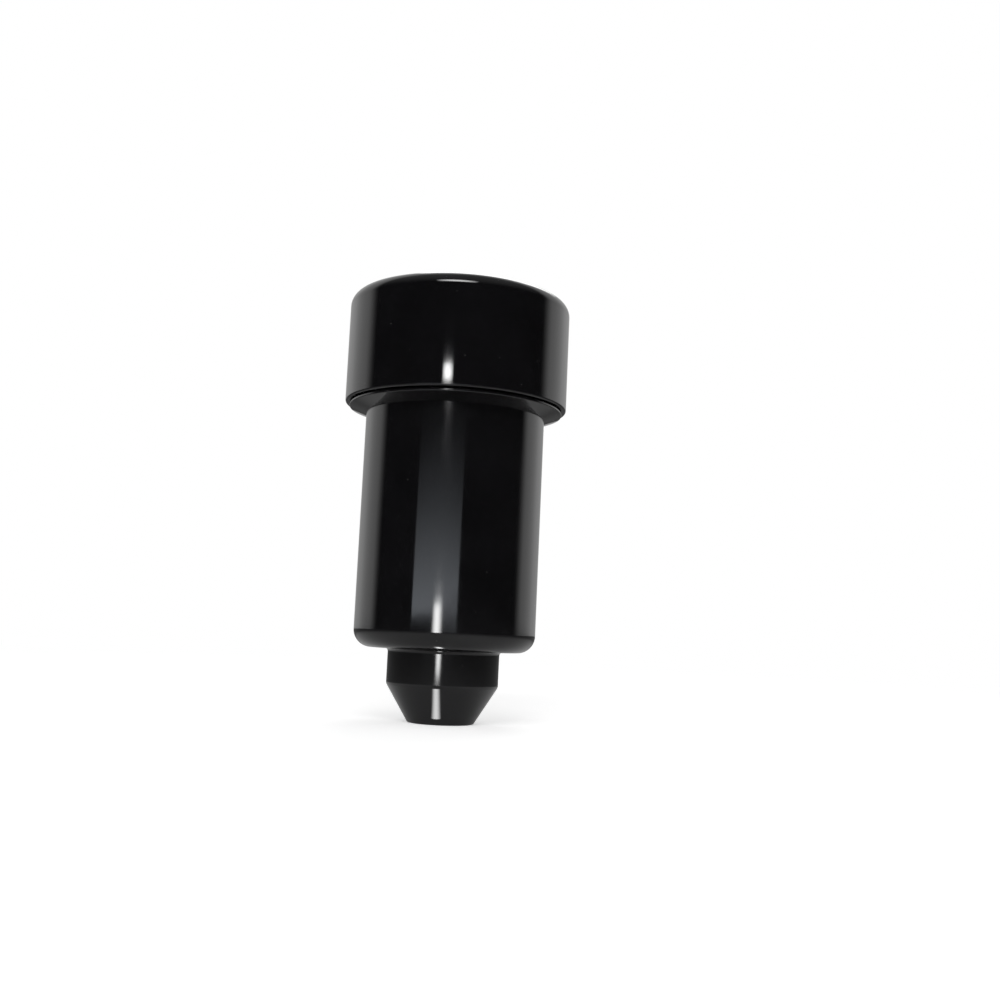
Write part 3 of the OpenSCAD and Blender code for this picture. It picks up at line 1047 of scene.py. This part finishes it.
@dataclass
class SplitRing:
    """The ring of two turns of wire that carries the keys.

    It hangs in the XZ plane, with the step from turn to turn at its lowest point.
    """

    node: str = "key_ring"
    mean_radius: float = 11.1 * MM
    wire_out: float = 1.84 * MM
    wire_along: float = 1.34 * MM
    pitch: float = 1.75 * MM
    step_half: float = math.radians(18)
    end_gap: float = math.radians(8)
    sides: int = 24
    arc_steps: int = 150
    step_steps: int = 24
    end_round: float = 0.28 * MM
    end_segments: int = 4

    def build(self) -> None:
        """Winds the wire, closes and rounds its ends and dresses it."""
        low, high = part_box(self.node)
        centre = (low + high) / 2
        start = self.step_half + self.end_gap
        arc = math.tau - self.step_half - start
        ring = Solid("split_ring", bpy.ops.mesh.primitive_circle_add, vertices=self.sides, radius=0.5,
                     fill_type="NOTHING", rotation=(0, math.pi / 2, 0))
        with ring.editing():
            bpy.ops.transform.resize(value=(1, self.wire_along, self.wire_out), center_override=(0, 0, 0))
            bpy.ops.transform.translate(value=(0, -self.pitch / 2, centre.z - self.mean_radius))
            self._wind(start, 1, centre)
            self._drop_start(ring)
            self._wind(arc, self.arc_steps, centre)
            self._step_over(centre)
            self._wind(arc, self.arc_steps, centre)
            ring.close()
            ring.pick(Pick.FACE, lambda f: len(f.verts) > 4)
            bpy.ops.mesh.bevel(offset=self.end_round, segments=self.end_segments, affect="EDGES")
        finish = PlatedSteel(
            name="nickel_wire", tint=(0.74, 0.73, 0.71), clouded=(0.62, 0.61, 0.6), roughness=0.16,
            uneven=0.1, line_depth=0.0006, line_scale=5000.0, centre=tuple(centre), turn=(90, 0, 0))
        ring.fit(Body.RING, Slot.RING, self.node, finish.material())

    @staticmethod
    def _wind(angle: float, steps: int, centre: Vector) -> None:
        """Spins the selected section on round the ring's axis, by an angle in radians."""
        bpy.ops.mesh.spin(steps=steps, angle=angle, center=(0, 0, centre.z), axis=(0, 1, 0),
                          use_auto_merge=False)

    @staticmethod
    def _drop_start(ring: Solid) -> None:
        """Removes the section that was drawn at the lowest point, and keeps the turned one selected.

        Args:
            ring: The ring, in edit mode.
        """
        kept = {v.index for v in bmesh.from_edit_mesh(ring.obj.data).verts if v.select}
        ring.pick(Pick.VERT, lambda v: v.index not in kept)
        bpy.ops.mesh.delete(type="VERT")
        bpy.ops.mesh.select_all(action="SELECT")

    def _step_over(self, centre: Vector) -> None:
        """Winds the wire over to its second turn in a smooth step.

        Args:
            centre: Centre of the ring.
        """
        done = 0.0
        for i in range(1, self.step_steps + 1):
            share = i / self.step_steps
            side = self.pitch * share * share * (3 - 2 * share)
            self._wind(2 * self.step_half / self.step_steps, 1, centre)
            bpy.ops.transform.translate(value=(0, side - done, 0))
            done = side


def aimed(name: str, data: bpy.types.ID, place: Triple, aim: Triple, roll: float = 0.0) -> bpy.types.Object:
    """Sets a lamp or a camera at its place, facing its aim.

    Args:
        name: The object's name.
        data: The lamp or the camera.
        place: Where it stands.
        aim: What it faces.
        roll: Turn about the line of sight, in radians.

    Returns:
        The object.
    """
    obj = bpy.data.objects.new(name, data)
    bpy.context.scene.collection.objects.link(obj)
    obj.location = place
    obj.rotation_mode = "QUATERNION"
    ahead = (Vector(aim) - Vector(place)).to_track_quat("-Z", "Y")
    obj.rotation_quaternion = ahead @ Quaternion((0, 0, 1), roll)
    return obj


@dataclass(frozen=True)
class SoftBox:
    """A soft lamp: where it stands, what it faces, its size, its brightness and tint, and how it dims.

    It dims from its foot to its top by the power fall, and to its sides by the power soft. A lamp that is
    only a gleam shows in gloss and lights nothing else.
    """

    name: str
    place: Triple
    aim: Triple
    width: float
    height: float
    radiance: float
    tint: Triple = (1.0, 1.0, 1.0)
    fall: float = 0.0
    soft: float = 0.0
    gleam: bool = False

    def build(self) -> None:
        """Hangs the lamp in the studio."""
        data = bpy.data.lights.new(self.name, "AREA")
        data.shape = "RECTANGLE"
        data.size = self.width
        data.size_y = self.height
        data.energy = LAMP_POWER * self.width * self.height * self.radiance
        data.color = self.tint
        if self.fall or self.soft:
            self._shade(data)
        lamp = aimed(self.name, data, self.place, self.aim)
        lamp.visible_camera = False
        lamp.visible_diffuse = not self.gleam

    def _shade(self, data: bpy.types.AreaLight) -> None:
        """Dims the lamp towards its top and its sides.

        Args:
            data: The lamp.
        """
        data.use_nodes = True
        graph = Graph(data.node_tree)
        side, foot, _ = graph.axes(graph.add("ShaderNodeNewGeometry").outputs["Parametric"])
        upwards = graph.math("POWER", graph.math("SUBTRACT", 1.0, foot), self.fall)
        across = graph.math("MULTIPLY", graph.math("SUBTRACT", 1.0, side), graph.math("MULTIPLY", side, 4.0))
        strength = graph.math("MULTIPLY", upwards, graph.math("POWER", across, self.soft))
        glow = graph.fill(graph.add("ShaderNodeEmission"), Strength=strength)[0]
        graph.fill(graph.add("ShaderNodeOutputLight"), Surface=glow)


@dataclass
class Studio:
    """Pale floor, soft lamps, white surround and the camera at the photograph's viewing angle."""

    camera_place: Triple = (0.00035, -0.26566, 0.02051)
    camera_aim: Triple = (0.01131, 0.0, 0.05164)
    camera_roll: float = math.radians(2.6)
    camera_near: float = 0.01
    lens: float = 41.4
    sensor: float = 36.0
    floor_size: float = 12.0
    floor_drop: float = 0.02 * MM
    floor_tint: Triple = (0.8, 0.8, 0.8)
    floor_gloss_tint: Triple = (0.2, 0.2, 0.2)
    floor_lift: float = 0.48
    gloss_fade: Span = (0.02, 0.22)
    white_fade: Span = (0.2, 0.6)
    ambient: float = 0.4
    room_level: float = 0.022
    backdrop_level: float = 0.9
    backdrop_side: Span = (0.06, 0.34)
    backdrop_centre: float = 0.5
    backdrop_dim: Span = (0.7, 1.0)
    ceiling_level: float = 0.3
    ceiling_side: Span = (0.3, 0.95)
    lamps: tuple[SoftBox, ...] = (
        SoftBox("front_band", (-0.125, -0.5, 0.11), (0, 0, 0.1), 0.54, 0.16, radiance=2.3,
                tint=(0.86, 0.92, 1.0), fall=2.5),
        SoftBox("front_line", (-0.042, -0.25, 0.017), (0, 0, 0.017), 0.058, 0.03, radiance=18.0, soft=1.6),
        SoftBox("front_spot", (-0.084, -0.5, 0.186), (0, 0, 0.08), 0.1, 0.01, radiance=26.0, soft=1.2),
        SoftBox("nose_line", (-0.0016, -0.0119, 0.002), (0, 0, 0.0215), 0.003, 0.0072, radiance=11.0,
                soft=1.5, gleam=True),
        SoftBox("front_top", (-0.05, -0.56, 0.46), (0, 0, 0.07), 0.46, 0.16, radiance=10.0, soft=1.0),
        SoftBox("back_top", (0.1, 0.5, 0.6), (0, 0, 0.07), 0.4, 0.3, radiance=2.5),
    )

    def build(self) -> None:
        """Sets up the whole studio."""
        self._camera()
        self._floor()
        self._surround()
        for lamp in self.lamps:
            lamp.build()
        bpy.context.scene.view_settings.view_transform = "Standard"

    def _camera(self) -> None:
        """Sets the camera at its place, facing its aim, with the photograph's slight roll."""
        data = bpy.data.cameras.new("camera")
        data.lens = self.lens
        data.sensor_width = self.sensor
        data.clip_start = self.camera_near
        camera = aimed("camera", data, self.camera_place, self.camera_aim, self.camera_roll)
        bpy.context.scene.camera = camera

    @staticmethod
    def _seen(graph: Graph) -> Socket:
        """Gives 1 for rays from the camera and through glass, and 0 for those that light the object."""
        path = graph.add("ShaderNodeLightPath")
        return graph.math("MAXIMUM", path.outputs["Is Camera Ray"], path.outputs["Is Transmission Ray"])

    def _floor(self) -> None:
        """Lays the floor. It keeps the object's shadow, fades to white away from it and is clear from below.

        In the object's gloss it fades to a dim room instead, so that black stays black from above too.
        """
        floor = Solid("floor", bpy.ops.mesh.primitive_plane_add, size=self.floor_size,
                      location=(0, 0, -self.floor_drop)).obj
        material = bpy.data.materials.new("pale_floor")
        material.use_nodes = True
        graph = Graph(material.node_tree)
        seen = self._seen(graph)
        length = graph.add("ShaderNodeVectorMath", operation="LENGTH")
        away = graph.fill(length, Vector=graph.add("ShaderNodeTexCoord").outputs["Object"])["Value"]
        glossy = graph.add("ShaderNodeLightPath").outputs["Is Glossy Ray"]
        dim = graph.math("MULTIPLY", glossy, graph.rise(away, *self.gloss_fade))
        shade = graph.blend(dim, self.floor_tint, self.floor_gloss_tint)
        matt = graph.fill(graph.add("ShaderNodeBsdfDiffuse"), Color=shade)[0]
        lifted = graph.math("MULTIPLY", seen, self.floor_lift)
        lift = graph.fill(graph.add("ShaderNodeEmission"), Strength=lifted)[0]
        near = graph.feed_from(graph.add("ShaderNodeAddShader"), 0, matt, lift)[0]
        far = graph.math("MULTIPLY", graph.rise(away, *self.white_fade), seen)
        above = graph.mix(far, near, graph.add("ShaderNodeEmission").outputs[0])
        below = graph.math("MULTIPLY", seen, graph.add("ShaderNodeNewGeometry").outputs["Backfacing"])
        both = graph.mix(below, above, graph.add("ShaderNodeBsdfTransparent").outputs[0])
        graph.fill(graph.add("ShaderNodeOutputMaterial"), Surface=both)
        floor.data.materials.append(material)

    def _surround(self) -> None:
        """Makes the surround: white where it is seen, and an even soft light on the object.

        In the object's gloss it is bright behind the object, with a dim room in front and a soft ceiling.
        """
        world = bpy.data.worlds.new("studio")
        bpy.context.scene.world = world
        world.use_nodes = True
        graph = Graph(world.node_tree)
        _, ahead, up = graph.axes(graph.add("ShaderNodeTexCoord").outputs["Generated"])
        backdrop = graph.math("MULTIPLY", graph.rise(ahead, *self.backdrop_dim, 1.0, self.backdrop_centre),
                              graph.rise(ahead, *self.backdrop_side, self.room_level, self.backdrop_level))
        ceiling = graph.rise(up, *self.ceiling_side, 0.0, self.ceiling_level)
        glossy = graph.add("ShaderNodeLightPath").outputs["Is Glossy Ray"]
        level = graph.between(glossy, self.ambient, graph.math("MAXIMUM", backdrop, ceiling))
        strength = graph.between(self._seen(graph), level, 1.0)
        back = graph.add("ShaderNodeBackground")
        glow = graph.fill(back, Color=(1.0, 1.0, 1.0, 1.0), Strength=strength)[0]
        graph.fill(graph.add("ShaderNodeOutputWorld"), Surface=glow)


def main() -> None:
    """Builds the studio and the pieces in order."""
    logging.basicConfig(level=logging.INFO, format="%(name)s %(message)s")
    for assembly in (Studio, GroundTube, PushOnCap, SealRing, ImitationNozzle, SlottedScrew, KeyHanger,
                     SplitRing):
        assembly().build()


if __name__ == "__main__":
    main()
